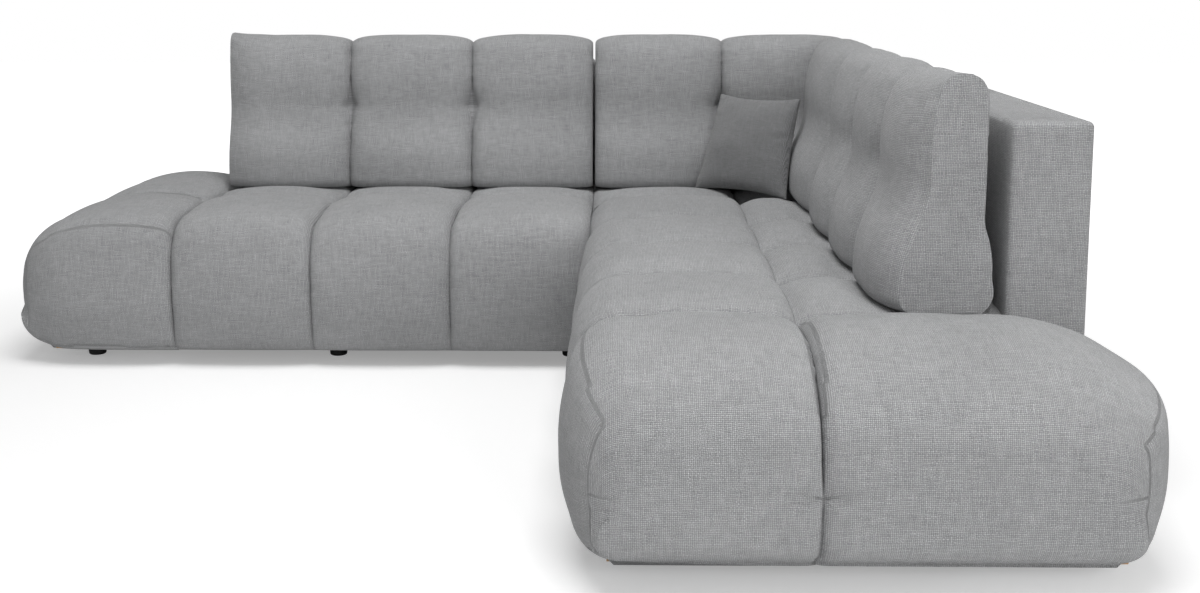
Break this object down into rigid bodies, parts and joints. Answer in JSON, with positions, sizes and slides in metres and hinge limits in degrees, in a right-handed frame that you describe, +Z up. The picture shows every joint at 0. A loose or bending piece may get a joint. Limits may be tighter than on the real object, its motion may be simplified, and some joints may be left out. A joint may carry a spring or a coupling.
{
  "type": "corner sofa",
  "caption": "L-shaped corner sofa without armrests: channelled seats, loose tufted back cushions in front of low box backs, a throw pillow and small round feet.",
  "frame": {"origin": "on the floor, below the centre of the whole sofa's outline", "axes": "+X along the left module towards the corner, +Y from the front of the left module to its back, +Z up; the right module runs from the corner towards -Y"},
  "size_m": [2.7195, 2.6645, 0.9071],
  "materials": {
    "sofa_fabric": "coarse grey basket weave over foam, slightly mottled",
    "pillow_fabric": "softer dark grey weave over fibre filling",
    "foot_plastic": "satin black",
    "timber": "planed softwood",
    "fibreboard": "raw hardboard",
    "steel": "zinc plated",
    "foam": "cut upholstery foam",
    "felt": "needled felt",
    "dust_fabric": "thin black non-woven sheet"
  },
  "bodies": {
    "seat": {"back_bolts": "steel", "joining_plates": "steel", "joining_screws": "steel", "left_back_cover": "sofa_fabric", "left_back_end_pad": "sofa_fabric", "left_back_lining": "fibreboard", "left_back_pad_1": "sofa_fabric", "left_back_pad_2": "sofa_fabric", "left_back_pad_3": "sofa_fabric", "left_back_timber": "timber", "left_cross_boards": "timber", "left_dust_cover": "dust_fabric", "left_end_deck": "fibreboard", "left_feet": "foot_plastic", "left_felt": "felt", "left_foam_core": "foam", "left_foot_blocks": "timber", "left_foot_screws": "steel", "left_front_end_pad": "sofa_fabric", "left_front_pad_1": "sofa_fabric", "left_front_pad_2": "sofa_fabric", "left_front_pad_3": "sofa_fabric", "left_long_rails": "timber", "left_spring_clips": "steel", "left_springs": "steel", "rear_back_cover": "sofa_fabric", "rear_back_lining": "fibreboard", "rear_back_timber": "timber", "right_back_end_pad": "sofa_fabric", "right_back_pad_1": "sofa_fabric", "right_back_pad_2": "sofa_fabric", "right_back_pad_3": "sofa_fabric", "right_back_pad_4": "sofa_fabric", "right_corner_back_pad": "sofa_fabric", "right_corner_front_pad": "sofa_fabric", "right_cross_boards": "timber", "right_dust_cover": "dust_fabric", "right_end_deck": "fibreboard", "right_feet": "foot_plastic", "right_felt": "felt", "right_foam_core": "foam", "right_foot_blocks": "timber", "right_foot_screws": "steel", "right_front_end_pad": "sofa_fabric", "right_front_pad_1": "sofa_fabric", "right_front_pad_2": "sofa_fabric", "right_front_pad_3": "sofa_fabric", "right_front_pad_4": "sofa_fabric", "right_long_rails": "timber", "right_spring_clips": "steel", "right_springs": "steel", "side_back_cover": "sofa_fabric", "side_back_lining": "fibreboard", "side_back_timber": "timber"},
    "left_cushion": {"left_cushion": "sofa_fabric"},
    "right_cushion": {"right_cushion": "sofa_fabric"},
    "corner_cushion": {"corner_cushion_rear": "sofa_fabric", "corner_cushion_side": "sofa_fabric"},
    "throw_pillow": {"throw_pillow": "pillow_fabric"}
  },
  "joints": [
    {"name": "left_cushion_lift", "type": "slide", "parent": "seat", "child": "left_cushion", "axis": [0, 0, 1], "range_m": [0, 0.5]},
    {"name": "right_cushion_lift", "type": "slide", "parent": "seat", "child": "right_cushion", "axis": [0, 0, 1], "range_m": [0, 0.5]},
    {"name": "corner_cushion_lift", "type": "slide", "parent": "seat", "child": "corner_cushion", "axis": [0, 0, 1], "range_m": [0, 0.5]},
    {"name": "pillow_takeout", "type": "slide", "parent": "corner_cushion", "child": "throw_pillow", "axis": [-0.5503, -0.6003, 0.5803], "range_m": [0, 0.4]}
  ]
}
